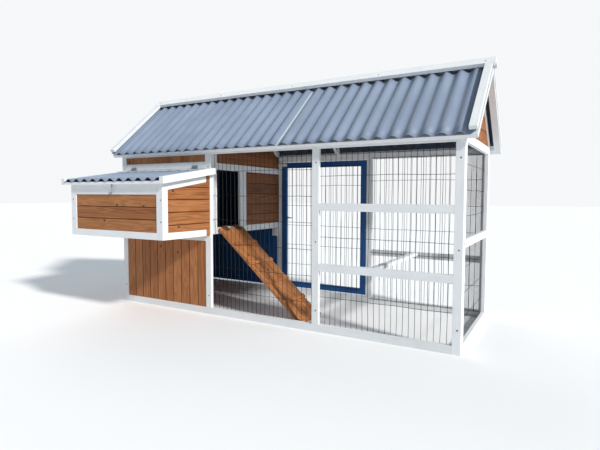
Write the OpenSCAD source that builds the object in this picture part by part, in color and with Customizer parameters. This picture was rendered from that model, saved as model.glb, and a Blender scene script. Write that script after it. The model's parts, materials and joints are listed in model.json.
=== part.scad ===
// Chicken coop: a raised timber house at the left, a wire run at the right, one
// corrugated gable roof over both, and a nest box with a hinged lid on the front.
// Millimetres, +Z up, X along the coop, the front at -Y. The origin is on the
// ground under the middle of the whole coop's bounding box.

/* [Body] */
// Length of the timber body from left end to right end
body_length = 2250; // [1875:1:2700]
// Depth of the timber body from front to back
body_depth = 770; // [640:1:930]
// Height of the walls
wall_height = 1008; // [960:1:1210]
// Left end to the right face of the house wall
house_length = 778; // [640:1:940]
// Left end to the left side of the post between middle bay and run bay
run_post_start = 1476; // [1300:1:1700]

/* [Timber] */
// Width of a post or rail as seen on the wall
timber_width = 40; // [33:1:48]
// Thickness of a post or rail
timber_thickness = 20; // [16:1:24]
// Thickness of the boarding
board_thickness = 12; // [8:1:14]
// Width of one board
board_pitch = 70; // [50:1:110]
// Width of the groove between two boards
groove_width = 4; // [2:0.5:6]

/* [Run bay] */
// Height of the middle of the lower rail in the run bay
lower_rail_height = 346; // [300:1:380]
// Height of the middle of the upper rail in the run bay
upper_rail_height = 664; // [600:1:760]
// Height of the middle of the middle rail in the right end
end_rail_height = 506; // [450:1:580]
// Left end to the left side of the perch
perch_start = 1795; // [1550:1:2000]
// Width of the perch
perch_width = 40; // [30:1:60]
// Thickness of the perch
perch_thickness = 20; // [15:1:30]
// Size of the bevel along the perch's edges
perch_bevel = 4; // [1:0.5:7]

/* [Wire mesh] */
// Thickness of a wire
wire = 2.4; // [1.6:0.1:4]
// Spacing of the upright wires
wire_pitch = 30.3; // [20:0.1:50]
// Spacing of the level wires in the middle bay and in the mesh door
wire_row_pitch = 143; // [100:1:200]
// Spacing of the level wires in the run bay, front and back
run_row_pitch = 160; // [100:1:200]
// Spacing of the level wires in the right end
end_row_pitch = 124; // [100:1:200]
// How far the mesh laps onto the timber around its opening
mesh_lap = 9; // [5:1:15]

/* [House] */
// Height of the underside of the house floor
floor_height = 486; // [405:1:583]
// Thickness of the house floor
floor_thickness = 18; // [12:1:24]
// Width of the pop-hole
pop_hole_width = 228; // [190:1:274]
// Height of the pop-hole
pop_hole_height = 354; // [295:1:372]
// Width of the post beside the pop-hole
pop_post_width = 62; // [40:1:80]

/* [Roof] */
// Slope of the roof in degrees
roof_slope = 42.5; // [35:0.5:48]
// Height of the sheets' underside above the wall's outer top edge
eaves_rise = 13; // [6:1:25]
// How far the sheets' lower edge stands out from the wall
eaves_overhang = 37; // [20:1:60]
// How far the roof stands out past the left end
left_overhang = 50; // [38:1:80]
// How far the roof stands out past the right end
right_overhang = 58; // [38:1:90]
// Width of the barge boards and of the battens under them
barge_width = 36; // [30:1:38]
// How far the ridge boards stand out past the barge boards
ridge_overrun = 14; // [5:1:25]
// How far the sheets' lower edge stands out past the battens at the eaves
batten_setback = 2; // [0:0.5:8]
// How far the barge boards' feet stop short of the sheets' lower edge
barge_setback = 6; // [0:1:12]
// Length of one wave of the corrugated sheet
wave_pitch = 76; // [60:1:95]
// Depth of the waves
wave_depth = 18; // [12:1:24]
// Thickness of the sheet
sheet_thickness = 1.2; // [0.8:0.1:2]
// Crest, counted from the left, where the two sheets lap
lap_crest = 16; // [10:1:20]
// Left end to the middle of the first crest
first_crest = 28; // [5:1:60]
// How far a barge board stands out past the sheet's edge
barge_lip = 5; // [2:1:12]
// Left end to the left side of the middle rafters
mid_rafter_start = 1255; // [1100:1:1400]

/* [Nest box] */
// Depth of the nest box in front of the wall
nest_depth = 368; // [306:1:442]
// Height of the nest box's underside
nest_bottom = 480; // [420:1:486]
// Height of the lid rails' underside at the lid's front edge
lid_front_height = 781; // [740:1:800]
// Slope of the lid in degrees
lid_slope = 9.5; // [6:0.5:11]
// How far the lid stands out in front of the nest box
lid_front_overhang = 24; // [15:1:40]
// How far the lid stands out past the left side of the nest box
lid_left_overhang = 60; // [40:1:75]
// How far the lid stands out past the right side of the nest box
lid_right_overhang = 34; // [26:1:42]
// Gap between the lid's side rails and the coop's corner posts
lid_side_gap = 2; // [1:0.5:4]
// How far the lid's side rails run past the wall's face
lid_rail_back = 14; // [4:1:15]
// Left side of the nest box to the middle of the lid sheet's first crest
lid_first_crest = 18; // [5:1:40]
// How far the lid's sheet stands out past the batten under its front edge
lid_sheet_lip = 4; // [1:1:16]
// Height of the lid's side rails
lid_rail_height = 37; // [32:1:45]
// Thickness of the battens under the lid's sheet
lid_batten_thickness = 16; // [10:1:17]
// Width of the nest box's corner posts on the front
nest_post_width = 46; // [38:1:56]
// Depth of the nest box's corner posts on the side
nest_post_depth = 38; // [30:1:46]
// Height of the rail at the top of the nest box's front
nest_top_rail = 60; // [40:1:72]
// How far the side frames stop short of the coop wall
nest_side_gap = 33; // [20:1:45]
// Number of nests side by side
nest_count = 3; // [2:1:4]

/* [Ramp] */
// Slope of the ramp in degrees
ramp_slope = 41.2; // [34:0.1:46]
// Thickness of the ramp board
ramp_thickness = 16; // [12:1:20]
// Spacing of the cleats along the ramp
cleat_pitch = 157; // [100:1:200]
// Width of a cleat along the ramp
cleat_width = 24; // [16:1:30]
// Thickness of a cleat
cleat_thickness = 10; // [6:1:14]
// Gap between the ramp and the sides of the pop-hole
ramp_side_gap = 2; // [1:0.5:6]

/* [Doors] */
// Gap at the sides and over the top of each door
door_gap = 3; // [2:0.5:6]
// Gap between a door and the rail under it
door_sill_gap = 12; // [3:1:25]
// Height of the bolts' middle
bolt_height = 560; // [470:1:680]
// Length of a bolt's plate
bolt_plate_length = 36; // [30:1:38]
// Radius of a bolt's rod
bolt_radius = 4; // [3:0.5:5]
// Length of a bolt's rod
bolt_length = 66; // [60:1:80]
// Distance from a door's top or bottom edge to its hinges
hinge_inset = 110; // [70:1:160]

/* [Fittings] */
// Radius of a hinge's barrel
barrel_radius = 4; // [3:0.5:5]
// Radius of a hinge's pin
pin_radius = 2; // [1.5:0.1:2.5]
// Running gap inside the hinges and the bolts
running_gap = 0.4; // [0.3:0.05:0.6]
// Length of a door hinge along its pin
door_hinge_length = 60; // [45:1:90]
// Length of a lid or ramp hinge along its pin
small_hinge_length = 45; // [36:1:60]
// Thickness of the hinges' and bolts' plates
plate = 2; // [1.5:0.1:2.5]
// Distance from a lid hinge to the side of the nest box
lid_hinge_inset = 118; // [80:1:200]
// Length of the hook from its ring to its tip
hook_length = 42; // [38:1:46]
// Radius of the hook's and eyes' wire
hook_wire = 1.5; // [1.2:0.1:1.8]

/* [Hidden] */
$fn = 32;

W = timber_width;
T = timber_thickness;
L = body_length;
D = body_depth;
H = wall_height;
white = [0.88, 0.88, 0.87];
brown = [0.55, 0.30, 0.16];
blue = [0.07, 0.22, 0.45];
slate = [0.50, 0.58, 0.67];
dark = [0.16, 0.17, 0.19];
zinc = [0.62, 0.63, 0.65];

// the posts of the front and the back wall
post_starts = [0, house_length - W, run_post_start, L - W];
back_starts = [0, house_length - T, run_post_start, L - W];

// the underside of the sheets, and the line that touches their crests
function fold(y) = y < D / 2 ? y : D - y;
function under(y) = H + eaves_rise + fold(y) * tan(roof_slope);
function crest(y) = under(y) + (wave_depth + sheet_thickness) / cos(roof_slope);
sheet_rise = D / 2 + eaves_overhang;
sheet_run = sheet_rise / cos(roof_slope);
sheet_top_gap = 1;

// the sheets lap at a trough-to-trough wave around the lap crest
sheet_left = -left_overhang + barge_lip;
sheet_right = L + right_overhang - barge_lip;
lap_middle = first_crest + wave_pitch * lap_crest;
lap_start = lap_middle - wave_pitch / 2;
lap_end = lap_middle + wave_pitch / 2;

// the lid: the line under its rails, the line over them and its hinge axis
lid_front = -nest_depth - lid_front_overhang;
lid_back = -2;
function lid_under(y) = lid_front_height + (y - lid_front) * tan(lid_slope);
function lid_top(y) = lid_under(y) + lid_rail_height / cos(lid_slope);
function rim(y) = lid_under(y) - 0.5;
hinge_lift = barrel_radius + 0.6;
lid_axis_y = -hinge_lift;
lid_axis_z = lid_top(lid_axis_y) + hinge_lift / cos(lid_slope);
nest_right = house_length - 2;
lid_left = -lid_left_overhang;
lid_right = nest_right + lid_right_overhang;
lid_rail_width = lid_right - house_length - lid_side_gap;

// the rail above the nest box starts where the lid ends
nest_rail_bottom = lid_top(0) + 1;
nest_rail_top = nest_rail_bottom + W;

// the pop-hole sits on the sill rail
sill_top = floor_height + W;
pop_start = T + W;
pop_end = pop_start + pop_hole_width;
pop_top = sill_top + pop_hole_height;
wall_x = house_length - T;

// the ramp hangs from a hinge that lies over the sill
ramp_axis_x = house_length + barrel_radius + 9.5;
ramp_axis_z = sill_top + hinge_lift;
ramp_width = pop_hole_width - 2 * ramp_side_gap;
ramp_end_lift = ramp_thickness * cos(ramp_slope);
ramp_start = barrel_radius + 2;
ramp_end = (ramp_axis_z - hinge_lift * cos(ramp_slope) - ramp_end_lift) / sin(ramp_slope);

// the doors fill the two left bays of the back wall
door_back = D;
door_front = D - T + 0.4;
door_bottom = W + door_sill_gap;
door_top = H - W - door_gap;
mesh_door_left = back_starts[1] + W + door_gap;
mesh_door_right = run_post_start - door_gap;
solid_door_left = W + door_gap;
solid_door_right = back_starts[1] - door_gap;
hinge_rows = [door_bottom + hinge_inset, door_top - hinge_inset];

// the origin is under the middle of the whole coop
ridge_left = -left_overhang - ridge_overrun;
ridge_right = L + right_overhang + ridge_overrun;
x_low = min(ridge_left, lid_left);
x_high = max(ridge_right, lid_right);
barge_low = barge_setback - eaves_overhang - (wave_depth + sheet_thickness) * sin(roof_slope);
y_low = lid_front - lid_sheet_lip * cos(lid_slope)
  - (wave_depth + sheet_thickness) * sin(lid_slope);
y_high = D + max(T * sin(roof_slope) - barge_low,
  eaves_overhang + (wave_depth + 2 * sheet_thickness) * sin(roof_slope));
hook_ring = 0.5 + 2 * hook_wire;
mid_x = (x_low + x_high) / 2;
mid_y = (y_low + y_high) / 2;

module place() {
  translate([-mid_x, -mid_y, 0]) children();
}

// a straight piece of timber from its low corner
module stick(x, y, z, dx, dy, dz) {
  translate([x, y, z]) cube([dx, dy, dz]);
}

// an outline in Y and Z, given a thickness along X
module slab_x(x, dx, points) {
  translate([x, 0, 0])
    rotate([90, 0, 90])
      linear_extrude(height = dx) polygon(points);
}

// both sides of the roof
module both_slopes() {
  children();
  translate([0, D, 0]) mirror([0, 1, 0]) children();
}

// boards standing side by side along X, with grooves on the -Y face
module upright_boards(x, y, z, dx, dy, dz) {
  difference() {
    stick(x, y, z, dx, dy, dz);
    for (i = [1 : 1 : ceil(dx / board_pitch) - 1])
      translate([x + i * board_pitch, y, z - 1])
        rotate([0, 0, 45])
          cube([groove_width / sqrt(2), groove_width / sqrt(2), dz * 2 + 4], center = true);
  }
}

// welded mesh in an opening that lies along X
module mesh_along_x(x, y, z, dx, dz, row_pitch, lap_left = mesh_lap) {
  columns = floor(dx / wire_pitch);
  first = (dx - (columns - 1) * wire_pitch) / 2;
  rows = floor(dz / row_pitch);
  row_one = (dz - (rows - 1) * row_pitch) / 2;
  for (i = [0 : 1 : columns - 1])
    stick(x + first + i * wire_pitch - wire / 2, y + wire * 0.8, z - mesh_lap,
      wire, wire, dz + 2 * mesh_lap);
  for (j = [0 : 1 : rows - 1])
    stick(x - lap_left, y, z + row_one + j * row_pitch, dx + lap_left + mesh_lap, wire, wire);
  for (edge = [z - mesh_lap, z + dz + mesh_lap - wire])
    stick(x - lap_left, y, edge, dx + lap_left + mesh_lap, wire, wire);
}

// welded mesh in an opening that lies along Y
module mesh_along_y(x, y, z, dy, dz, row_pitch) {
  translate([x, y, 0])
    mirror([1, -1, 0]) mesh_along_x(0, 0, z, dy, dz, row_pitch);
}

// a corrugated sheet lying flat: waves along X, length along -Z, underside at Y 0
module corrugated(x_from, x_to, length, crest_at) {
  step = wave_pitch / 12;
  first = ceil((x_from - crest_at) / step + 0.01);
  last = floor((x_to - crest_at) / step - 0.01);
  xs = concat([x_from], [for (i = [first : 1 : last]) crest_at + i * step], [x_to]);
  lower = [for (x = xs) [x, wave_depth / 2 * (1 + cos(360 * (x - crest_at) / wave_pitch))]];
  upper = [for (i = [len(xs) - 1 : -1 : 0]) [xs[i], lower[i][1] + sheet_thickness]];
  linear_extrude(height = length) polygon(concat(lower, upper));
}

// a roof sheet on the front slope, raised by lift above the battens
module roof_sheet(x_from, x_to, lift) {
  up_z = H + eaves_rise + (D / 2) * tan(roof_slope);
  translate([0, D / 2, up_z])
    rotate([90 + roof_slope, 0, 0])
      translate([0, lift, sheet_top_gap])
        corrugated(x_from, x_to, sheet_run - sheet_top_gap, first_crest);
}

// the fixed half of a hinge: pin along Z, plate towards +X, timber face at Y -hinge_lift
module hinge_fixed(length, leaf) {
  third = length / 3;
  for (z = [-length / 2, length / 2 - third + running_gap])
    union() {
      translate([0, 0, z]) cylinder(r = barrel_radius, h = third - running_gap);
      stick(0, -hinge_lift, z, leaf, plate, third - running_gap);
      stick(0, -hinge_lift, z, barrel_radius * 0.6, hinge_lift, third - running_gap);
    }
  translate([0, 0, -length / 2]) cylinder(r = pin_radius, h = length);
  stick(barrel_radius + 2, -hinge_lift, -length / 2, leaf - barrel_radius - 2, plate, length);
}

// the moving half of a hinge: plate towards -X
module hinge_moving(length, leaf) {
  third = length / 3;
  difference() {
    union() {
      translate([0, 0, -third / 2]) cylinder(r = barrel_radius, h = third);
      stick(-leaf, -hinge_lift, -third / 2, leaf, plate, third);
      stick(-barrel_radius * 0.6, -hinge_lift, -third / 2, barrel_radius * 0.6, hinge_lift, third);
      stick(-leaf, -hinge_lift, -length / 2, leaf - barrel_radius - 2, plate, length);
    }
    translate([0, 0, -length]) cylinder(r = pin_radius + running_gap, h = 2 * length);
  }
}

// an eye of round wire in the plane of Y and Z, with a shank towards +Y
module eye_ring(ring) {
  rotate([0, 90, 0])
    rotate_extrude() translate([ring, 0]) circle(r = hook_wire);
  translate([0, ring, 0]) rotate([-90, 0, 0]) cylinder(r = hook_wire, h = 5);
}

// ---- front wall ----
module front_posts() {
  color(white) place() {
    for (i = [0, 3])
      stick(post_starts[i], 0, 0, W, T, H);
    for (i = [1, 2])
      stick(post_starts[i], 0, W, W, T, H - 2 * W);
  }
}

module front_rails() {
  run_start = run_post_start + W;
  color(white) place() {
    stick(W, 0, 0, L - 2 * W, T, W);
    stick(W, 0, H - W, L - 2 * W, T, W);
    for (z = [lower_rail_height, upper_rail_height])
      stick(run_start, 0, z - W / 2, L - W - run_start, T, W);
  }
}

module house_front_rails() {
  bay = house_length - 2 * W;
  color(white) place() {
    stick(W, 0, floor_height - W, bay, T, W);
    stick(W, 0, nest_rail_bottom, bay, T, min(W, H - W - nest_rail_bottom));
  }
}

module house_front_boards() {
  bay = house_length - 2 * W;
  y = (T - board_thickness) / 2;
  color(brown) place() {
    upright_boards(W, y, W, bay, board_thickness, floor_height - 2 * W);
    if (H - W - nest_rail_top > 1)
      stick(W, y, nest_rail_top, bay, board_thickness, H - W - nest_rail_top);
  }
}

module front_mesh_middle() {
  color(dark) place()
    mesh_along_x(house_length, T, W, run_post_start - house_length, H - 2 * W, wire_row_pitch, 0);
}

module front_mesh_run() {
  x = run_post_start + W;
  color(dark) place() mesh_along_x(x, T, W, L - W - x, H - 2 * W, run_row_pitch);
}

// ---- end walls and gables ----
module end_posts() {
  color(white) place()
    for (x = [0, L - T], y = [T, D - T - W])
      stick(x, y, 0, T, W, H);
}

module end_rails() {
  y = T + W;
  span = D - 2 * y;
  color(white) place() {
    for (x = [0, L - T], z = [0, H - W])
      stick(x, y, z, T, span, W);
    stick(0, y, floor_height - W, T, span, W);
    stick(L - T, y, end_rail_height - W / 2, T, span, W);
  }
}

module right_end_mesh() {
  y = T + W;
  color(dark) place()
    translate([L - T, 0, 0]) mirror([1, 0, 0])
      mesh_along_y(0, y, W, D - 2 * y, H - 2 * W, end_row_pitch);
}

module left_end_boards() {
  y = T + W;
  span = D - 2 * y;
  x = (T - board_thickness) / 2;
  color(brown) place()
    translate([x, y + span, 0]) rotate([0, 0, -90]) {
      upright_boards(0, 0, W, span, board_thickness, floor_height - 2 * W);
      upright_boards(0, 0, floor_height, span, board_thickness, H - W - floor_height);
    }
}

// a rafter on the front slope, standing on the top of the wall
module rafter(x, y_from) {
  drop = W / cos(roof_slope);
  y_turn = (drop - eaves_rise) / tan(roof_slope);
  slab_x(x, T, [
    [y_from, H],
    [max(y_turn, y_from + 1), H],
    [D / 2, under(D / 2) - drop],
    [D / 2, under(D / 2)],
    [y_from, under(y_from)]
  ]);
}

module gable_rafters() {
  color(white) place()
    both_slopes()
      for (x = [0, L - T])
        rafter(x, 0);
}

module gable_boards() {
  drop = W / cos(roof_slope);
  y_turn = (drop - eaves_rise) / tan(roof_slope);
  x = (T - board_thickness) / 2;
  color(brown) place()
    for (start = [x, L - T + x])
      difference() {
        slab_x(start, board_thickness,
          [[y_turn, H], [D - y_turn, H], [D / 2, under(D / 2) - drop]]);
        for (z = [H + board_pitch : board_pitch : under(D / 2)])
          translate([start == x ? start : start + board_thickness, D / 2, z])
            rotate([0, 45, 0])
              cube([groove_width / sqrt(2), D, groove_width / sqrt(2)], center = true);
      }
}

// ---- wall between the house and the run ----
module house_wall_posts() {
  color(white) place() {
    stick(wall_x, T, sill_top, T, W, H - sill_top);
    stick(wall_x, pop_end, sill_top, T, pop_post_width, pop_hole_height);
  }
}

module house_wall_rails() {
  color(white) place() {
    stick(wall_x, T, floor_height, T, D - 2 * T, W);
    stick(wall_x, pop_start, pop_top, T, D - T - pop_start, min(W, H - pop_top));
  }
}

// boards lying across the wall, with grooves on the +X face
module house_wall_boards() {
  y = pop_end + pop_post_width;
  x = wall_x + (T - board_thickness) / 2;
  color(brown) place()
    difference() {
      stick(x, y, sill_top, board_thickness, D - T - y, pop_hole_height);
      for (z = [sill_top + board_pitch : board_pitch : pop_top - 1])
        translate([x + board_thickness, y + D / 2, z])
          rotate([0, 45, 0])
            cube([groove_width / sqrt(2), 2 * D, groove_width / sqrt(2)], center = true);
    }
}

module house_wall_gable() {
  drop = W / cos(roof_slope);
  y_turn = (drop - eaves_rise) / tan(roof_slope);
  z = pop_top + min(W, H - pop_top);
  x = wall_x + (T - board_thickness) / 2;
  inner = max(y_turn, T + W);
  color(brown) place()
    slab_x(x, board_thickness, [
      [T + W, z],
      [D - T, z],
      [D - T, H],
      [D - inner, H],
      [D / 2, under(D / 2) - drop],
      [inner, H],
      [T + W, H]
    ]);
}

// ---- roof ----
module inner_rafters() {
  color(white) place()
    both_slopes()
      for (x = [wall_x, mid_rafter_start])
        rafter(x, T);
}

// battens under the sheets' lower edges, bevelled to lie against the wall
module eaves_battens() {
  y = batten_setback - eaves_overhang;
  color(white) place()
    both_slopes()
      slab_x(-left_overhang, L + left_overhang + right_overhang, [
        [y, under(y)],
        [y + T * sin(roof_slope), under(y) - T * cos(roof_slope)],
        [0, under(0) - T / cos(roof_slope)],
        [0, under(0)]
      ]);
}

// battens under the sheets' ends, from the eaves up to the ridge
module verge_battens() {
  drop = T / cos(roof_slope);
  color(white) place()
    both_slopes()
      for (x = [-left_overhang, L + right_overhang - barge_width])
        slab_x(x, barge_width, [
          [0, under(0)],
          [0, under(0) - drop],
          [D / 2, under(D / 2) - drop],
          [D / 2, under(D / 2)]
        ]);
}

module ridge_beam() {
  starts = [T, wall_x + T, mid_rafter_start + T];
  ends = [wall_x, mid_rafter_start, L - T];
  top = under(D / 2);
  side = T / 2 * tan(roof_slope);
  color(white) place()
    for (i = [0 : 2])
      slab_x(starts[i], ends[i] - starts[i], [
        [D / 2 - T / 2, top - side - W],
        [D / 2 + T / 2, top - side - W],
        [D / 2 + T / 2, top - side],
        [D / 2, top],
        [D / 2 - T / 2, top - side]
      ]);
}

module roof_sheet_front_left() {
  color(slate) place() roof_sheet(sheet_left, lap_end, 0);
}

module roof_sheet_front_right() {
  color(slate) place() roof_sheet(lap_start, sheet_right, sheet_thickness / cos(30));
}

module roof_sheet_back_left() {
  color(slate) place()
    translate([0, D, 0]) mirror([0, 1, 0]) roof_sheet(sheet_left, lap_end, 0);
}

module roof_sheet_back_right() {
  color(slate) place()
    translate([0, D, 0]) mirror([0, 1, 0])
      roof_sheet(lap_start, sheet_right, sheet_thickness / cos(30));
}

// a board lying on the crests of the front slope, from y_from up to y_to
module crest_board(x, dx, y_from, y_to, square_top) {
  lift = sheet_thickness / cos(30) / cos(roof_slope);
  up = T / cos(roof_slope);
  back = T * sin(roof_slope);
  slab_x(x, dx, [
    [y_from, crest(y_from) + lift],
    [y_to, crest(y_to) + lift],
    [square_top ? y_to - back : y_to, crest(y_to) + lift + (square_top ? T * cos(roof_slope) : up)],
    [y_from - back, crest(y_from) + lift + T * cos(roof_slope)]
  ]);
}

module ridge_boards() {
  low = D / 2 - W * cos(roof_slope);
  color(white) place()
    both_slopes()
      crest_board(ridge_left, ridge_right - ridge_left, low, D / 2, false);
}

module barge_boards() {
  high = D / 2 - W * cos(roof_slope);
  color(white) place()
    both_slopes()
      for (x = [-left_overhang, L + right_overhang - barge_width])
        crest_board(x, barge_width, barge_low, high, true);
}

// ---- house floor ----
module house_floor() {
  color(brown) place()
    union() {
      stick(T, T, floor_height, wall_x - T, D - 2 * T - 2, floor_thickness);
      stick(W, 0, floor_height, house_length - 2 * W, T + 1, floor_thickness);
    }
}

// ---- back wall ----
module back_posts() {
  color(white) place() {
    for (i = [0, 3])
      stick(back_starts[i], D - T, 0, W, T, H);
    for (i = [1, 2])
      stick(back_starts[i], D - T, W, W, T, H - 2 * W);
  }
}

module back_rails() {
  run_start = run_post_start + W;
  color(white) place() {
    for (z = [0, H - W])
      stick(W, D - T, z, L - 2 * W, T, W);
    stick(run_start, D - T, lower_rail_height - W / 2, L - W - run_start, T, W);
  }
}

module run_back_mesh() {
  x = run_post_start + W;
  color(dark) place()
    translate([0, D - T, 0]) mirror([0, 1, 0])
      mesh_along_x(x, 0, W, L - W - x, H - 2 * W, run_row_pitch);
}

// small blocks on the inside that the doors close against
module door_stops() {
  x = back_starts[1];
  color(white) place() {
    stick(x + W / 2, D - 2 * T, door_top - 28, 70, T, 20);
    stick(x - 30, D - 2 * T, floor_height - 61, 44, T, 55);
  }
}

// ---- perch ----
module perch() {
  y = T + wire * 1.8;
  z = lower_rail_height + W / 2 - perch_thickness;
  b = perch_bevel;
  w = perch_width;
  h = perch_thickness;
  color(white) place()
    translate([perch_start, D - y, z])
      rotate([90, 0, 0])
        linear_extrude(height = D - 2 * y)
          polygon([[0, 0], [w, 0], [w, h - b], [w - b, h], [b, h], [0, h - b]]);
}

// ---- nest box ----
module nest_posts() {
  d = nest_post_depth;
  y = -nest_depth;
  color(white) place()
    for (x = [0, nest_right - nest_post_width])
      slab_x(x, nest_post_width,
        [[y, nest_bottom], [y + d, nest_bottom], [y + d, rim(y + d)], [y, rim(y)]]);
}

module nest_front_rails() {
  x = nest_post_width;
  w = nest_right - 2 * nest_post_width;
  y = -nest_depth;
  color(white) place() {
    stick(x, y, nest_bottom, w, T, nest_post_depth);
    slab_x(x, w, [
      [y, rim(y) - nest_top_rail],
      [y + T, rim(y) - nest_top_rail],
      [y + T, rim(y + T)],
      [y, rim(y)]
    ]);
  }
}

module nest_front_boards() {
  x = nest_post_width;
  y = -nest_depth;
  low = nest_bottom + nest_post_depth;
  high = rim(y) - nest_top_rail;
  pitch = (high - low) / 3;
  inset = (T - board_thickness) / 2;
  color(brown) place()
    difference() {
      stick(x, y + inset, low, nest_right - 2 * x, board_thickness, high - low);
      for (i = [1, 2])
        translate([nest_right / 2, y + inset, low + i * pitch])
          rotate([45, 0, 0])
            cube([2 * nest_right, groove_width / sqrt(2), groove_width / sqrt(2)], center = true);
    }
}

module nest_side_rails() {
  front = -nest_depth + nest_post_depth;
  back = -nest_side_gap;
  drop = W / cos(lid_slope);
  color(white) place()
    for (x = [0, nest_right - T]) {
      stick(x, front, nest_bottom, T, back - front, nest_post_depth);
      slab_x(x, T, [
        [front, rim(front) - drop],
        [back, rim(back) - drop],
        [back, rim(back)],
        [front, rim(front)]
      ]);
    }
}

module nest_side_boards() {
  front = -nest_depth + nest_post_depth;
  back = -nest_side_gap;
  low = nest_bottom + nest_post_depth;
  drop = W / cos(lid_slope);
  inset = (T - board_thickness) / 2;
  color(brown) place()
    for (x = [inset, nest_right - T + inset])
      difference() {
        slab_x(x, board_thickness, [
          [front, low],
          [back, low],
          [back, nest_bottom],
          [0, nest_bottom],
          [0, rim(0)],
          [back, rim(back)],
          [back, rim(back) - drop],
          [front, rim(front) - drop]
        ]);
        for (z = [low + W : board_pitch : rim(0) - W])
          translate([x == inset ? x : x + board_thickness, front / 2, z])
            rotate([0, 45, 0])
              cube([groove_width / sqrt(2), nest_depth * 2, groove_width / sqrt(2)], center = true);
      }
}

module nest_floor() {
  front = -nest_depth + T;
  inset = (T - board_thickness) / 2;
  color(brown) place()
    difference() {
      stick(inset + board_thickness, front, nest_bottom, nest_right - 2 * inset - 2 * board_thickness,
        -front, board_thickness);
      for (x = [-1, nest_right - nest_post_width])
        stick(x, front - 1, nest_bottom - 1, nest_post_width + 1, nest_post_depth - T + 1,
          board_thickness + 2);
      for (x = [0, nest_right - T])
        stick(x, front - 1, nest_bottom - 1, T, nest_depth - T + 1 - nest_side_gap, board_thickness + 2);
    }
}

module nest_dividers() {
  front = -nest_depth + T;
  low = nest_bottom + board_thickness;
  back = -1;
  color(brown) place()
    for (i = [1 : 1 : nest_count - 1])
      slab_x(nest_right * i / nest_count - board_thickness / 2, board_thickness, [
        [front, low],
        [back, low],
        [back, lid_under(back) - 60],
        [front, lid_under(front) - 60]
      ]);
}

// the hinge halves on the wall and the eye that the hook drops into
module nest_fittings() {
  swing = 15;
  eye_x = nest_right / 2 - hook_length * sin(swing) - 8 * cos(swing);
  eye_z = hook_axis_z() - hook_length * cos(swing) + 8 * sin(swing);
  ring = 5 + hook_wire;
  color(zinc) place() {
    for (x = [lid_hinge_inset, nest_right - lid_hinge_inset])
      translate([x, lid_axis_y, lid_axis_z])
        rotate([90, 0, 0]) rotate([90, 0, 90]) hinge_fixed(small_hinge_length, 16);
    translate([eye_x, hook_y(), eye_z])
      rotate([0, swing, 0]) eye_ring(ring);
  }
}
function hook_y() = -nest_depth - 5 - 5 - hook_wire;
function hook_axis_z() = lid_under(hook_y()) - 5 - 5 - 3;

// ---- nest box lid ----
module lid_side_rails() {
  color(white) place()
    for (x = [lid_left, lid_right - lid_rail_width])
      slab_x(x, lid_rail_width, [
        [lid_front, lid_under(lid_front)],
        [lid_rail_back, lid_under(lid_rail_back)],
        [lid_rail_back, lid_top(lid_rail_back)],
        [lid_front, lid_top(lid_front)]
      ]);
}

module lid_battens() {
  x = lid_left + lid_rail_width;
  w = lid_right - lid_left - 2 * lid_rail_width;
  up = lid_batten_thickness / cos(lid_slope);
  mid = lid_front + W;
  inner = lid_back - T;
  color(white) place() {
    slab_x(x, w, [
      [lid_front, lid_under(lid_front)],
      [mid, lid_under(mid)],
      [mid, lid_under(mid) + up],
      [lid_front, lid_under(lid_front) + up]
    ]);
    slab_x(x, w, [
      [inner, lid_under(inner)],
      [lid_back, lid_under(lid_back)],
      [lid_back, lid_top(lid_back)],
      [inner, lid_top(inner)]
    ]);
  }
}

module lid_sheet() {
  x = lid_left + lid_rail_width;
  y = lid_back - T - 1;
  up = lid_batten_thickness / cos(lid_slope);
  run = (y - lid_front) / cos(lid_slope) + lid_sheet_lip;
  color(slate) place()
    translate([0, y, lid_under(y) + up])
      rotate([90 + lid_slope, 0, 0])
        corrugated(x + 1, lid_right - lid_rail_width - 1, run, lid_first_crest);
}

// the hinge halves on the lid and the eye that carries the hook
module lid_fittings() {
  color(zinc) place() {
    for (x = [lid_hinge_inset, nest_right - lid_hinge_inset])
      translate([x, lid_axis_y, lid_axis_z])
        rotate([lid_slope, 0, 0]) rotate([90, 0, 90]) hinge_moving(small_hinge_length, 18);
    translate([nest_right / 2, hook_y(), hook_axis_z() + 5])
      union() {
        rotate([0, 90, 0])
          rotate_extrude() translate([5, 0]) circle(r = hook_wire);
        translate([0, 0, 5]) cylinder(r = hook_wire, h = 2.6);
      }
  }
}

module lid_hook() {
  color(zinc) place()
    translate([nest_right / 2, hook_y(), hook_axis_z()])
      union() {
        rotate([90, 0, 0])
          rotate_extrude() translate([hook_ring, 0]) circle(r = hook_wire);
        translate([0, 0, -hook_length])
          cylinder(r = hook_wire, h = hook_length - hook_ring);
        translate([0, 0, -hook_length]) sphere(r = hook_wire);
        translate([0, 0, -hook_length])
          rotate([0, -90, 0]) cylinder(r = hook_wire, h = 15);
      }
}

// ---- ramp ----
// the ramp's own frame: origin on the hinge axis, X down the slope, Z out of its top face
module on_ramp() {
  translate([ramp_axis_x, 0, ramp_axis_z])
    rotate([0, ramp_slope, 0])
      translate([0, 0, -hinge_lift]) children();
}

module ramp_board() {
  y = pop_start + ramp_side_gap;
  color(brown) place()
    on_ramp()
      stick(ramp_start, y, -ramp_thickness, ramp_end - ramp_start, ramp_width, ramp_thickness);
}

module ramp_cleats() {
  y = pop_start + ramp_side_gap;
  count = round(ramp_end / cleat_pitch);
  last = ramp_end - cleat_width / 2;
  color(brown) place()
    on_ramp()
      for (i = [1 : 1 : count])
        stick(min(i * cleat_pitch, last) - cleat_width / 2, y, 0, cleat_width, ramp_width,
          cleat_thickness);
}

module ramp_hinge_leaves() {
  color(zinc) place()
    on_ramp()
      for (f = [0.25, 0.75])
        translate([0, pop_start + f * pop_hole_width, hinge_lift])
          rotate([90, 0, 0]) mirror([1, 0, 0]) hinge_moving(small_hinge_length, 34);
}

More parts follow.
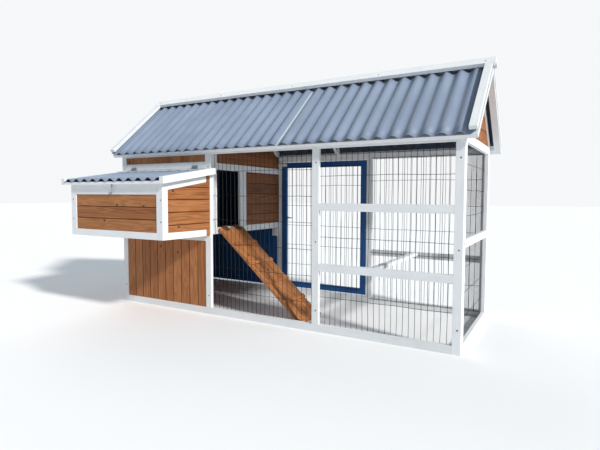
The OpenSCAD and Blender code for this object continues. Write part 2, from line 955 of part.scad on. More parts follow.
module sill_hinge_plates() {
  color(zinc) place()
    for (f = [0.25, 0.75])
      translate([ramp_axis_x, pop_start + f * pop_hole_width, ramp_axis_z])
        rotate([90, 0, 0]) mirror([1, 0, 0]) hinge_fixed(small_hinge_length, 30);
}

// ---- doors ----
module door_hinges_moving(axis_x, flip) {
  for (z = hinge_rows)
    translate([axis_x, door_back + hinge_lift, z])
      mirror([flip ? 1 : 0, 0, 0]) hinge_moving(door_hinge_length, 34);
}

module door_hinges_fixed(axis_x, flip) {
  for (z = hinge_rows)
    translate([axis_x, door_back + hinge_lift, z])
      mirror([flip ? 1 : 0, 0, 0]) hinge_fixed(door_hinge_length, 34);
}

// a bolt's plate with two staples; the bolt slides towards +X
module bolt_plate(x) {
  r = bolt_radius + running_gap;
  mid = bolt_radius + plate + 1.5;
  translate([x, door_back, bolt_height])
    difference() {
      union() {
        stick(0, 0, -15, bolt_plate_length, plate, 30);
        for (s = [2, bolt_plate_length - 10])
          stick(s, 0, -9, 8, mid + bolt_radius + 3, 18);
      }
      translate([-1, mid, 0]) rotate([0, 90, 0]) cylinder(r = r, h = bolt_plate_length + 2);
    }
}

// a bolt drawn back, its nose 8 mm short of the plate's end
module bolt_rod(x) {
  mid = bolt_radius + plate + 1.5;
  translate([x, door_back + mid, bolt_height])
    union() {
      translate([bolt_plate_length - 4 - bolt_length, 0, 0])
        rotate([0, 90, 0]) cylinder(r = bolt_radius, h = bolt_length);
      translate([bolt_plate_length - bolt_length + 4, 0, 0])
        rotate([-90, 0, 0]) cylinder(r = bolt_radius * 0.75, h = 18);
    }
}

module bolt_keeper(x) {
  r = bolt_radius + running_gap;
  mid = bolt_radius + plate + 1.5;
  translate([x, door_back, bolt_height])
    difference() {
      union() {
        stick(0, 0, -15, 16, plate, 30);
        stick(2, 0, -9, 8, mid + bolt_radius + 3, 18);
      }
      translate([-1, mid, 0]) rotate([0, 90, 0]) cylinder(r = r, h = 20);
    }
}

module mesh_door_stiles() {
  color(blue) place()
    for (x = [mesh_door_left, mesh_door_right - W])
      stick(x, door_front, door_bottom, W, door_back - door_front, door_top - door_bottom);
}

module mesh_door_rails() {
  x = mesh_door_left + W;
  w = mesh_door_right - mesh_door_left - 2 * W;
  color(blue) place()
    for (z = [door_bottom, door_top - W])
      stick(x, door_front, z, w, door_back - door_front, W);
}

module mesh_door_mesh() {
  x = mesh_door_left + W;
  w = mesh_door_right - mesh_door_left - 2 * W;
  h = door_top - door_bottom - 2 * W;
  color(dark) place()
    translate([0, door_front, 0]) mirror([0, 1, 0])
      mesh_along_x(x, 0, door_bottom + W, w, h, wire_row_pitch);
}

module mesh_door_fittings() {
  color(zinc) place() {
    door_hinges_moving(mesh_door_right + door_gap / 2, false);
    translate([mesh_door_left, 0, 0]) mirror([1, 0, 0]) bolt_plate(-bolt_plate_length - 1);
  }
}

module mesh_door_bolt() {
  color(zinc) place()
    translate([mesh_door_left, 0, 0]) mirror([1, 0, 0]) bolt_rod(-bolt_plate_length - 1);
}

module solid_door_frame() {
  w = solid_door_right - solid_door_left;
  h = door_top - door_bottom;
  deep = door_back - door_front;
  color(blue) place()
    difference() {
      stick(solid_door_left, door_front, door_bottom, w, deep, h);
      stick(solid_door_left + W, door_front - 1, door_bottom + W, w - 2 * W, deep + 2,
        floor_height - door_bottom - W);
      stick(solid_door_left + W, door_front - 1, floor_height + W, w - 2 * W, deep + 2,
        door_top - W - floor_height - W);
    }
}

module solid_door_boards() {
  x = solid_door_left + W;
  w = solid_door_right - solid_door_left - 2 * W;
  y = door_front + 2;
  color(blue) place() {
    upright_boards(x, y, door_bottom + W, w, board_thickness, floor_height - door_bottom - W);
    upright_boards(x, y, floor_height + W, w, board_thickness, door_top - floor_height - 2 * W);
  }
}

module solid_door_fittings() {
  color(zinc) place() {
    door_hinges_moving(solid_door_left - door_gap / 2, true);
    bolt_plate(solid_door_right - bolt_plate_length - 1);
  }
}

module solid_door_bolt() {
  color(zinc) place() bolt_rod(solid_door_right - bolt_plate_length - 1);
}

// the hinge halves and the keepers on the posts of the back wall
module back_post_fittings() {
  color(zinc) place() {
    door_hinges_fixed(mesh_door_right + door_gap / 2, false);
    door_hinges_fixed(solid_door_left - door_gap / 2, true);
    bolt_keeper(back_starts[1] + 1);
    translate([back_starts[1] + W, 0, 0]) mirror([1, 0, 0]) bolt_keeper(1);
  }
}

front_posts();
front_rails();
house_front_rails();
house_front_boards();
front_mesh_middle();
front_mesh_run();
end_posts();
end_rails();
right_end_mesh();
left_end_boards();
gable_rafters();
gable_boards();
house_wall_posts();
house_wall_rails();
house_wall_boards();
house_wall_gable();
inner_rafters();
eaves_battens();
verge_battens();
ridge_beam();
roof_sheet_front_left();
roof_sheet_front_right();
roof_sheet_back_left();
roof_sheet_back_right();
ridge_boards();
barge_boards();
house_floor();
back_posts();
back_rails();
run_back_mesh();
door_stops();
perch();
nest_posts();
nest_front_rails();
nest_front_boards();
nest_side_rails();
nest_side_boards();
nest_floor();
nest_dividers();
nest_fittings();
lid_side_rails();
lid_battens();
lid_sheet();
lid_fittings();
lid_hook();
ramp_board();
ramp_cleats();
ramp_hinge_leaves();
sill_hinge_plates();
mesh_door_stiles();
mesh_door_rails();
mesh_door_mesh();
mesh_door_fittings();
mesh_door_bolt();
solid_door_frame();
solid_door_boards();
solid_door_fittings();
solid_door_bolt();
back_post_fittings();
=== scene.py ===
import json
import math
import random

import bmesh
import bpy
import numpy as np
from mathutils import Matrix, Vector

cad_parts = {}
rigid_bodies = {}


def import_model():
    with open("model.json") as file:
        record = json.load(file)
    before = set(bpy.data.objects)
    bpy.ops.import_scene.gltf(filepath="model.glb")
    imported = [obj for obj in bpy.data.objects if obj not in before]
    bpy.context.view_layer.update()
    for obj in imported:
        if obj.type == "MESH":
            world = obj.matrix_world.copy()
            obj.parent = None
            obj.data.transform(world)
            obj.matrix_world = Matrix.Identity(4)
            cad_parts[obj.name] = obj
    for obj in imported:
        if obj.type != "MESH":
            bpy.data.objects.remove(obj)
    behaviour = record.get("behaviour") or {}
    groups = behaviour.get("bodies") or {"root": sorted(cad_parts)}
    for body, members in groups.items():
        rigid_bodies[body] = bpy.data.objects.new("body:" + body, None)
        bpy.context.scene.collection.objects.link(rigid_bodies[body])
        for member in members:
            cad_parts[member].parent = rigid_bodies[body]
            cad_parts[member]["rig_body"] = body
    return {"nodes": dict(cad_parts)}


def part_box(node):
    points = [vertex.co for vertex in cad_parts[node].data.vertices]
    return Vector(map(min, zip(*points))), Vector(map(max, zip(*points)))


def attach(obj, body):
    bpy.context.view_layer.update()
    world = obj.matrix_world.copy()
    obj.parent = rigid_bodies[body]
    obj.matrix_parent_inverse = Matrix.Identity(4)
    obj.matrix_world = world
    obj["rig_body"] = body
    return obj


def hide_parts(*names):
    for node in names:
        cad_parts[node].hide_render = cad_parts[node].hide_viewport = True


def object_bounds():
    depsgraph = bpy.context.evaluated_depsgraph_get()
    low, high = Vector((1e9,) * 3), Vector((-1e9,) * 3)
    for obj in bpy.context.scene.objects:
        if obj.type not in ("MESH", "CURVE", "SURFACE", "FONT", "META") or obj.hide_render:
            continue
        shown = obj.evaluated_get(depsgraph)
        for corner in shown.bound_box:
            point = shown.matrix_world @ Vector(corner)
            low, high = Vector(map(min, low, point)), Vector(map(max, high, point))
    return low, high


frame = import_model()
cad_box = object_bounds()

# --- Viewpoint -------------------------------------------------------------
# The camera stands off the run's end of the front, about 0.7 m above the ground,
# and looks slantwise at the front wall and a little down.
low, high = cad_box
look = math.radians(28.49)
dip = math.radians(-3.23)
lean = math.radians(0.3)
ahead = Vector((-math.sin(look) * math.cos(dip), math.cos(look) * math.cos(dip), math.sin(dip)))
side = Vector((math.cos(look), math.sin(look), 0))
over = side.cross(ahead)
cam_x = side * math.cos(lean) + over * math.sin(lean)
cam_y = over * math.cos(lean) - side * math.sin(lean)
past_end = 0.3120
off_front = 1.6708
eye_height = 0.7183
stand = Vector((high.x + past_end, low.y - off_front, eye_height))
camera = bpy.data.objects.new("camera", bpy.data.cameras.new("camera"))
camera.matrix_world = Matrix((
    (cam_x.x, cam_y.x, -ahead.x, stand.x),
    (cam_x.y, cam_y.y, -ahead.y, stand.y),
    (cam_x.z, cam_y.z, -ahead.z, stand.z),
    (0, 0, 0, 1)))
camera.data.sensor_width = 36
camera.data.lens = 27.016
camera.data.shift_x = -0.0293
camera.data.shift_y = -0.005
bpy.context.scene.collection.objects.link(camera)
bpy.context.scene.camera = camera


# --- Studio ----------------------------------------------------------------
# A pale matt floor, a cool even surround, one strong lamp high on the run's side
# and slightly in front, and one weak broad lamp behind on the house's side.
def put(tree, kind, settings=None, **ins):
    made = tree.nodes.new(kind)
    for key, value in (settings or {}).items():
        setattr(made, key, value)
    for key, value in ins.items():
        spot = made.inputs[int(key[1:]) if key[1:].isdigit() else key.replace("_", " ")]
        if isinstance(value, bpy.types.NodeSocket):
            tree.links.new(value, spot)
        else:
            spot.default_value = value
    return made


def new_finish(name):
    material = bpy.data.materials.new(name)
    material.use_nodes = True
    return material, material.node_tree, material.node_tree.nodes["Principled BSDF"]


floor_mesh = bpy.data.meshes.new("floor")
reach = 40
floor_mesh.from_pydata([(-reach, -reach, 0), (reach, -reach, 0), (reach, reach, 0), (-reach, reach, 0)],
                       [], [(0, 1, 2, 3)])
floor = bpy.data.objects.new("floor", floor_mesh)
bpy.context.scene.collection.objects.link(floor)
pale, tree, shader = new_finish("pale_floor")
spots = put(tree, "ShaderNodeTexNoise", Scale=3.0, Detail=4.0)
tint = put(tree, "ShaderNodeMix", {"data_type": "RGBA"}, Factor=spots.outputs["Fac"],
           i6=(0.88, 0.885, 0.89, 1), i7=(0.92, 0.92, 0.92, 1))
tree.links.new(tint.outputs[2], shader.inputs["Base Color"])
shader.inputs["Roughness"].default_value = 0.9
shader.inputs["Specular IOR Level"].default_value = 0.1
floor_mesh.materials.append(pale)

world = bpy.data.worlds.new("studio")
world.use_nodes = True
sky = world.node_tree.nodes["Background"]
sky.inputs["Color"].default_value = (0.76, 0.88, 1.0, 1)
sky.inputs["Strength"].default_value = 0.42
backing = put(world.node_tree, "ShaderNodeBackground", Color=(0.97, 0.985, 1, 1), Strength=0.95)
seen = put(world.node_tree, "ShaderNodeLightPath")
surround = put(world.node_tree, "ShaderNodeMixShader", i0=seen.outputs["Is Camera Ray"])
world.node_tree.links.new(sky.outputs[0], surround.inputs[1])
world.node_tree.links.new(backing.outputs[0], surround.inputs[2])
world.node_tree.links.new(surround.outputs[0], world.node_tree.nodes["World Output"].inputs["Surface"])
bpy.context.scene.world = world
lamp = bpy.data.objects.new("window_lamp", bpy.data.lights.new("window_lamp", "SUN"))
lamp.data.energy = 3.9
lamp.data.angle = math.radians(6)
lamp.data.color = (1.0, 0.975, 0.94)
lamp.rotation_euler = Vector((0.82, -0.25, 0.51)).to_track_quat("Z", "Y").to_euler()
bpy.context.scene.collection.objects.link(lamp)
back_lamp = bpy.data.objects.new("back_lamp", bpy.data.lights.new("back_lamp", "SUN"))
back_lamp.data.energy = 0.85
back_lamp.data.angle = math.radians(50)
back_lamp.rotation_euler = Vector((-0.55, 0.60, 0.58)).to_track_quat("Z", "Y").to_euler()
bpy.context.scene.collection.objects.link(back_lamp)
bpy.context.scene.view_settings.view_transform = "Standard"


# --- Painted frame timber --------------------------------------------------
# Posts and rails are planed softwood laths, 40 by 20 mm, with eased edges, given
# two thin coats of white matt paint and screwed together through the faces.
def eased_copy(node, ease, seam_area):
    """A copy of a CAD node as one clean mesh with its edges taken off and its board seams marked."""
    shape = bmesh.new()
    shape.from_mesh(frame["nodes"][node].data)
    bmesh.ops.remove_doubles(shape, verts=shape.verts, dist=2e-5)
    bmesh.ops.dissolve_limit(shape, angle_limit=math.radians(1.0), verts=shape.verts, edges=shape.edges)
    worn = shape.faces.layers.float.new("worn")
    seam = shape.faces.layers.float.new("seam")
    # Small slanted faces are the V grooves' walls; they are marked as seams and coloured dark, partly the
    # groove's own colour and partly painted shade.
    for face in shape.faces:
        face[seam] = 1.0 if max(abs(c) for c in face.normal) < 0.9 and face.calc_area() < seam_area else 0.0
    sharp = [e for e in shape.edges
             if len(e.link_faces) == 2 and e.calc_face_angle(0) > math.radians(30)]
    made = bmesh.ops.bevel(shape, geom=sharp, offset=ease, offset_type="OFFSET", segments=2,
                           profile=0.6, affect="EDGES", clamp_overlap=True)
    for face in made["faces"]:
        face[seam] = max((other[seam] for e in face.edges for other in e.link_faces), default=0.0)
        face[worn] = 1.0 - face[seam]
    return shape


def islands(shape):
    """The separate pieces of timber in a mesh, as lists of faces."""
    shape.faces.index_update()
    left, groups = set(shape.faces), []
    while left:
        todo, group = [min(left, key=lambda f: f.index)], []
        left.discard(todo[0])
        while todo:
            face = todo.pop()
            group.append(face)
            for edge in face.edges:
                for other in edge.link_faces:
                    if other in left:
                        left.discard(other)
                        todo.append(other)
        groups.append(group)
    return groups


half_joint = 0.0008


def timber(node, finish, ease=0.0011, run=None, across=None, start=0.0, pitch=None):
    """Shows a node as cut timber: each stick or board has its own grain and its own tone."""
    shape = eased_copy(node, ease, 0.004 if pitch else 0.0)
    # The sticks are numbered before the joints are cut, because a cut can change the faces' order.
    stick = shape.faces.layers.int.new("stick")
    for number, group in enumerate(islands(shape)):
        for face in group:
            face[stick] = number
    seam = shape.faces.layers.float["seam"]
    if pitch:
        unit = Vector([float(k == across) for k in range(3)])
        furthest = max(v.co[across] for v in shape.verts)
        for k in range(1, math.ceil((furthest - start) / pitch)):
            for edge in (-half_joint, half_joint):
                bmesh.ops.bisect_plane(shape, geom=shape.verts[:] + shape.edges[:] + shape.faces[:],
                                       dist=1e-6, plane_co=unit * (start + k * pitch + edge), plane_no=unit)
        # The narrow strips cut at each board joint are marked as seams, which the finishes darken: partly
        # the joint's own colour, partly painted shade in the groove.
        for face in shape.faces:
            off = (face.calc_center_median()[across] - start) / pitch
            flat = max(v.co[across] for v in face.verts) - min(v.co[across] for v in face.verts)
            if abs(off - round(off)) * pitch < 0.0007 and 0.5 < off and flat < 0.003:
                face[seam] = 1.0
    grain = shape.loops.layers.float_vector.new("grain")
    tone = shape.faces.layers.float.new("tone")
    for group in islands(shape):
        number = group[0][stick]
        points = np.array([v.co[:] for f in group for v in f.verts])
        middle = points.mean(0)
        axes = np.linalg.svd(points - middle, full_matrices=False)[2]
        if run is not None:
            first = Vector(run).normalized()
            second = first.orthogonal().normalized()
            axes = np.array([first, second, first.cross(second)])
        for face in group:
            board = 0
            if pitch:
                board = math.floor((face.calc_center_median()[across] - start) / pitch)
            dice = random.Random(f"{node}{number}.{board}")
            shift = [dice.uniform(-9, 9) for _ in range(3)]
            face[tone] = dice.random()
            for loop in face.loops:
                place = axes @ np.array(loop.vert.co) + shift
                loop[grain] = Vector(place)
    shape.faces.layers.int.remove(stick)
    mesh = bpy.data.meshes.new(node + "_timber")
    shape.to_mesh(mesh)
    shape.free()
    mesh.materials.append(finish)
    piece = bpy.data.objects.new(node + "_timber", mesh)
    bpy.context.scene.collection.objects.link(piece)
    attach(piece, frame["nodes"][node]["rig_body"])
    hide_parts(node)


def paint(name, colour, shade, rough, fibre_depth, knot_show):
    """Paint on softwood: the grain telegraphs through, and knots bleed faintly."""
    material, tree, shader = new_finish(name)
    grain = put(tree, "ShaderNodeAttribute", {"attribute_name": "grain"}).outputs["Vector"]
    tone = put(tree, "ShaderNodeAttribute", {"attribute_name": "tone"}).outputs["Fac"]
    long_way = put(tree, "ShaderNodeVectorMath", {"operation": "MULTIPLY"}, i0=grain, i1=(5, 170, 170))
    fibres = put(tree, "ShaderNodeTexNoise", Vector=long_way.outputs[0], Scale=1.0, Detail=5.0,
                 Roughness=0.6, Distortion=0.4)
    clouds = put(tree, "ShaderNodeTexNoise", Vector=grain, Scale=9.0, Detail=3.0)
    cells = put(tree, "ShaderNodeVectorMath", {"operation": "MULTIPLY"}, i0=grain, i1=(4.2, 17, 17))
    knots = put(tree, "ShaderNodeTexVoronoi", Vector=cells.outputs[0], Scale=1.0, Randomness=0.9)
    knot = put(tree, "ShaderNodeMapRange", {"interpolation_type": "SMOOTHSTEP"},
               Value=knots.outputs["Distance"], From_Min=0.05, From_Max=0.24, To_Min=knot_show, To_Max=0.0)
    wear = put(tree, "ShaderNodeMapRange", Value=fibres.outputs["Fac"], From_Min=0.35, From_Max=0.75,
               To_Min=0.0, To_Max=0.55)
    tinted = put(tree, "ShaderNodeMix", {"data_type": "RGBA"}, Factor=wear.outputs[0],
                 i6=(*colour, 1), i7=(*shade, 1))
    patchy = put(tree, "ShaderNodeMapRange", Value=clouds.outputs["Fac"], From_Min=0.3, From_Max=0.7,
                 To_Min=0.955, To_Max=1.025)
    lath = put(tree, "ShaderNodeMapRange", Value=tone, To_Min=0.955, To_Max=1.02)
    gain = put(tree, "ShaderNodeMath", {"operation": "MULTIPLY"}, i0=patchy.outputs[0], i1=lath.outputs[0])
    toned = put(tree, "ShaderNodeVectorMath", {"operation": "SCALE"}, i0=tinted.outputs[2],
                Scale=gain.outputs[0])
    warm = put(tree, "ShaderNodeMix", {"data_type": "RGBA"}, Factor=knot.outputs[0],
               i6=toned.outputs[0], i7=(shade[0] * 0.93, shade[1] * 0.80, shade[2] * 0.60, 1))
    worn = put(tree, "ShaderNodeAttribute", {"attribute_name": "worn"}).outputs["Fac"]
    seam = put(tree, "ShaderNodeAttribute", {"attribute_name": "seam"}).outputs["Fac"]
    rubs = put(tree, "ShaderNodeTexNoise", Vector=grain, Scale=26.0, Detail=5.0, Roughness=0.7)
    rubbed = put(tree, "ShaderNodeMapRange", {"interpolation_type": "SMOOTHSTEP"}, Value=rubs.outputs["Fac"],
                 From_Min=0.56, From_Max=0.66, To_Min=0.0, To_Max=0.75)
    bare = put(tree, "ShaderNodeMath", {"operation": "MULTIPLY"}, i0=rubbed.outputs[0], i1=worn)
    edged = put(tree, "ShaderNodeMix", {"data_type": "RGBA"}, Factor=bare.outputs[0],
                i6=warm.outputs[2], i7=(0.42, 0.33, 0.235, 1))
    # Seam faces at the board joints are darkened: partly the joint's own darker paint, partly painted shade
    # in the groove.
    seamed = put(tree, "ShaderNodeMix", {"data_type": "RGBA"}, Factor=seam, i6=edged.outputs[2],
                 i7=(shade[0] * 0.5, shade[1] * 0.5, shade[2] * 0.5, 1))
    tree.links.new(seamed.outputs[2], shader.inputs["Base Color"])
    shader.inputs["Specular IOR Level"].default_value = 0.3
    gloss = put(tree, "ShaderNodeMapRange", Value=clouds.outputs["Fac"], From_Min=0.3, From_Max=0.7,
                To_Min=rough - 0.06, To_Max=rough + 0.1)
    tree.links.new(gloss.outputs[0], shader.inputs["Roughness"])
    raised = put(tree, "ShaderNodeBump", Strength=fibre_depth, Distance=0.0008,
                 Height=fibres.outputs["Fac"])
    tree.links.new(raised.outputs[0], shader.inputs["Normal"])
    return material


white_paint = paint("painted_white", (0.765, 0.785, 0.80), (0.64, 0.66, 0.675), 0.5, 0.35, 0.16)
for node in ("front_posts", "front_rails", "house_front_rails", "end_posts", "end_rails",
             "back_posts", "back_rails", "door_stops"):
    timber(node, white_paint)

# --- Roof timbers ----------------------------------------------------------
# Rafters carry the sheets, a lath runs along the eaves and under each verge, and
# white boards cover the ridge and the sheets' ends.
for node in ("gable_rafters", "inner_rafters", "ridge_beam", "eaves_battens", "verge_battens",
             "barge_boards", "ridge_boards"):
    timber(node, white_paint)


# --- Stained boarding ------------------------------------------------------
# Tongued softwood boards with a V joint, dipped in red-brown stain. Every board
# takes the stain differently and shows its own rings and a knot here and there.
def stain(name, pale_wood, mid_wood, dark_wood, rough, relief):
    material, tree, shader = new_finish(name)
    grain = put(tree, "ShaderNodeAttribute", {"attribute_name": "grain"}).outputs["Vector"]
    tone = put(tree, "ShaderNodeAttribute", {"attribute_name": "tone"}).outputs["Fac"]
    cells = put(tree, "ShaderNodeVectorMath", {"operation": "MULTIPLY"}, i0=grain, i1=(9, 12.5, 12.5))
    knots = put(tree, "ShaderNodeTexVoronoi", Vector=cells.outputs[0], Scale=1.0, Randomness=1.0)
    pick = put(tree, "ShaderNodeSeparateColor", Color=knots.outputs["Color"])
    rare = put(tree, "ShaderNodeMath", {"operation": "GREATER_THAN"}, i0=pick.outputs[0], i1=0.45)
    near = put(tree, "ShaderNodeMapRange", {"interpolation_type": "SMOOTHSTEP"},
               Value=knots.outputs["Distance"], From_Min=0.03, From_Max=0.36, To_Min=1.0, To_Max=0.0)
    around = put(tree, "ShaderNodeMath", {"operation": "MULTIPLY"}, i0=near.outputs[0], i1=rare.outputs[0])
    pushed = put(tree, "ShaderNodeCombineXYZ", X=0.0, Y=around.outputs[0], Z=around.outputs[0])
    bent = put(tree, "ShaderNodeVectorMath", {"operation": "MULTIPLY_ADD"}, i0=pushed.outputs[0],
               i1=(0, 0.012, 0.012), i2=grain)
    slow = put(tree, "ShaderNodeVectorMath", {"operation": "MULTIPLY"}, i0=bent.outputs[0], i1=(1.3, 21, 21))
    field = put(tree, "ShaderNodeTexNoise", Vector=slow.outputs[0], Scale=1.0, Detail=2.0,
                Roughness=0.45, Distortion=0.25)
    many = put(tree, "ShaderNodeMath", {"operation": "MULTIPLY"}, i0=field.outputs["Fac"], i1=11.0)
    rings = put(tree, "ShaderNodeMath", {"operation": "PINGPONG"}, i0=many.outputs[0], i1=0.5)
    fine = put(tree, "ShaderNodeVectorMath", {"operation": "MULTIPLY"}, i0=bent.outputs[0], i1=(9, 420, 420))
    fibres = put(tree, "ShaderNodeTexNoise", Vector=fine.outputs[0], Scale=1.0, Detail=3.0, Roughness=0.65)
    early = put(tree, "ShaderNodeMapRange", {"interpolation_type": "SMOOTHSTEP"},
                Value=rings.outputs[0], From_Min=0.0, From_Max=0.5, To_Min=0.10, To_Max=0.52)
    streak = put(tree, "ShaderNodeMapRange", Value=fibres.outputs["Fac"], From_Min=0.3, From_Max=0.7,
                 To_Min=-0.15, To_Max=0.22)
    board = put(tree, "ShaderNodeMapRange", Value=tone, To_Min=-0.13, To_Max=0.32)
    amount = put(tree, "ShaderNodeMath", {"operation": "ADD"}, i0=early.outputs[0], i1=streak.outputs[0])
    amount = put(tree, "ShaderNodeMath", {"operation": "ADD", "use_clamp": True}, i0=amount.outputs[0],
                 i1=board.outputs[0])
    ramp = put(tree, "ShaderNodeValToRGB", Fac=amount.outputs[0])
    ramp.color_ramp.elements[0].color = (*pale_wood, 1)
    ramp.color_ramp.elements[1].color = (*dark_wood, 1)
    middle = ramp.color_ramp.elements.new(0.5)
    middle.color = (*mid_wood, 1)
    core = put(tree, "ShaderNodeMapRange", {"interpolation_type": "SMOOTHSTEP"},
               Value=knots.outputs["Distance"], From_Min=0.04, From_Max=0.12, To_Min=0.92, To_Max=0.0)
    heart = put(tree, "ShaderNodeMath", {"operation": "MULTIPLY"}, i0=core.outputs[0], i1=rare.outputs[0])
    colour = put(tree, "ShaderNodeMix", {"data_type": "RGBA"}, Factor=heart.outputs[0],
                 i6=ramp.outputs["Color"],
                i7=(dark_wood[0] * 0.3, dark_wood[1] * 0.25, dark_wood[2] * 0.2, 1))
    seam = put(tree, "ShaderNodeAttribute", {"attribute_name": "seam"}).outputs["Fac"]
    worn = put(tree, "ShaderNodeAttribute", {"attribute_name": "worn"}).outputs["Fac"]
    thin = put(tree, "ShaderNodeMath", {"operation": "MULTIPLY"}, i0=worn, i1=0.3)
    edged = put(tree, "ShaderNodeMix", {"data_type": "RGBA"}, Factor=thin.outputs[0],
                i6=colour.outputs[2], i7=(*pale_wood, 1))
    # Seam faces at the board joints are darkened: partly stain pooled in the joint, partly painted shade in
    # the groove.
    seamed = put(tree, "ShaderNodeMix", {"data_type": "RGBA"}, Factor=seam, i6=edged.outputs[2],
                 i7=(dark_wood[0] * 0.42, dark_wood[1] * 0.38, dark_wood[2] * 0.36, 1))
    tree.links.new(seamed.outputs[2], shader.inputs["Base Color"])
    shader.inputs["Specular IOR Level"].default_value = 0.22
    gloss = put(tree, "ShaderNodeMapRange", Value=fibres.outputs["Fac"], To_Min=rough - 0.08,
                To_Max=rough + 0.12)
    tree.links.new(gloss.outputs[0], shader.inputs["Roughness"])
    height = put(tree, "ShaderNodeMath", {"operation": "MULTIPLY_ADD"}, i0=rings.outputs[0], i1=-0.6,
                 i2=fibres.outputs["Fac"])
    raised = put(tree, "ShaderNodeBump", Strength=relief, Distance=0.0007, Height=height.outputs[0])
    tree.links.new(raised.outputs[0], shader.inputs["Normal"])
    return material


brown_stain = stain("stained_brown", (0.43, 0.185, 0.070), (0.31, 0.118, 0.040), (0.165, 0.052, 0.018),
                    0.52, 0.4)
# A darker copy of the same stain is painted shade for the wall between house and run, which stands in shade
# inside the coop.
shaded_stain = stain("stained_inner_wall_painted_shade", (0.27, 0.110, 0.042), (0.19, 0.070, 0.025), (0.10, 0.032, 0.012),
                     0.6, 0.4)
board_width = 0.070
board_ease = 0.0006
floor_board_width = 0.096
wall_rail_height = 0.040
upright = (0, 0, 1)
along = (1, 0, 0)
deep = (0, 1, 0)
for node, run, across, pitch in (
        ("house_front_boards", upright, 0, board_width),
        ("left_end_boards", upright, 1, board_width),
        ("gable_boards", deep, 2, board_width),
        ("house_wall_boards", deep, 2, board_width),
        ("house_wall_gable", deep, 2, board_width),
        ("house_floor", along, 1, floor_board_width)):
    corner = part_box(node)[0][across]
    if node == "house_wall_boards":
        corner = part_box("house_wall_rails")[0].z + wall_rail_height
    # The house wall's boards take the darker copy of the stain, which is painted shade.
    finish = shaded_stain if node.startswith("house_wall") else brown_stain
    timber(node, finish, board_ease, run, across, corner, pitch)

# --- Perch -----------------------------------------------------------------
# One white lath with its upper edges bevelled for the hens' feet. It lies across
# the run on the lower rails.
timber("perch", white_paint, 0.0008)


# --- Welded wire mesh ------------------------------------------------------
# Round wire, spot welded in upright bars with a few level ones, coated dark grey.
# It lies against the inside of the frame, and its bars wander a little.
def wire_tree():
    tree = bpy.data.node_groups.new("welded_mesh", "GeometryNodeTree")
    for name, kind in (("Columns", "NodeSocketInt"), ("Rows", "NodeSocketInt"),
                       ("Column Pitch", "NodeSocketFloat"), ("Row Pitch", "NodeSocketFloat"),
                       ("First Column", "NodeSocketFloat"), ("First Row", "NodeSocketFloat"),
                       ("Width", "NodeSocketFloat"), ("Height", "NodeSocketFloat"),
                       ("Radius", "NodeSocketFloat"), ("Bow", "NodeSocketFloat"),
                       ("Finish", "NodeSocketMaterial")):
        tree.interface.new_socket(name=name, in_out="INPUT", socket_type=kind)
    tree.interface.new_socket(name="Mesh", in_out="OUTPUT", socket_type="NodeSocketGeometry")
    given = tree.nodes.new("NodeGroupInput").outputs

    def bars(count, pitch, first, length, upright_bars, behind):
        step = put(tree, "ShaderNodeCombineXYZ", **{"X" if upright_bars else "Z": pitch})
        begin = put(tree, "ShaderNodeCombineXYZ", **{"X" if upright_bars else "Z": first, "Y": behind})
        end = put(tree, "ShaderNodeCombineXYZ", **{"Z" if upright_bars else "X": length})
        row = put(tree, "GeometryNodeMeshLine", Count=count, Start_Location=begin.outputs[0],
                  Offset=step.outputs[0])
        bar = put(tree, "GeometryNodeCurvePrimitiveLine", End=end.outputs[0])
        cut = put(tree, "GeometryNodeResampleCurve", Curve=bar.outputs[0], Count=15)
        return put(tree, "GeometryNodeInstanceOnPoints", Points=row.outputs[0], Instance=cut.outputs[0])

    radius = given["Radius"]
    inside = put(tree, "ShaderNodeMath", {"operation": "MULTIPLY"}, i0=radius, i1=2.6).outputs[0]
    edge_pitch = put(tree, "ShaderNodeMath", {"operation": "MULTIPLY_ADD"}, i0=radius, i1=-2.0,
                     i2=given["Height"]).outputs[0]
    parts = [bars(given["Columns"], given["Column Pitch"], given["First Column"], given["Height"], True,
                  inside),
             bars(given["Rows"], given["Row Pitch"], given["First Row"], given["Width"], False, radius),
             bars(2, edge_pitch, radius, given["Width"], False, radius)]
    joined = tree.nodes.new("GeometryNodeJoinGeometry")
    for part in parts:
        tree.links.new(part.outputs[0], joined.inputs[0])
    real = put(tree, "GeometryNodeRealizeInstances", Geometry=joined.outputs[0])
    drift = put(tree, "ShaderNodeTexNoise", {"noise_dimensions": "3D"}, Scale=5.0, Detail=1.0)
    centred = put(tree, "ShaderNodeVectorMath", {"operation": "SUBTRACT"}, i0=drift.outputs["Color"],
                  i1=(0.5, 0.5, 0.5))
    level = put(tree, "ShaderNodeVectorMath", {"operation": "MULTIPLY"}, i0=centred.outputs[0],
                i1=(1, 0.12, 1.2))
    bowed = put(tree, "ShaderNodeVectorMath", {"operation": "SCALE"}, i0=level.outputs[0],
                Scale=given["Bow"])
    moved = put(tree, "GeometryNodeSetPosition", Geometry=real.outputs[0], Offset=bowed.outputs[0])
    round_bar = put(tree, "GeometryNodeCurvePrimitiveCircle", Resolution=7, Radius=radius)
    solid = put(tree, "GeometryNodeCurveToMesh", Curve=moved.outputs[0], Profile_Curve=round_bar.outputs[0],
                Fill_Caps=True)
    smooth = put(tree, "GeometryNodeSetShadeSmooth", Geometry=solid.outputs[0])
    whole = put(tree, "GeometryNodeRealizeInstances", Geometry=smooth.outputs[0])
    done = put(tree, "GeometryNodeSetMaterial", Geometry=whole.outputs[0], Material=given["Finish"])
    tree.links.new(done.outputs[0], tree.nodes.new("NodeGroupOutput").inputs[0])
    return tree


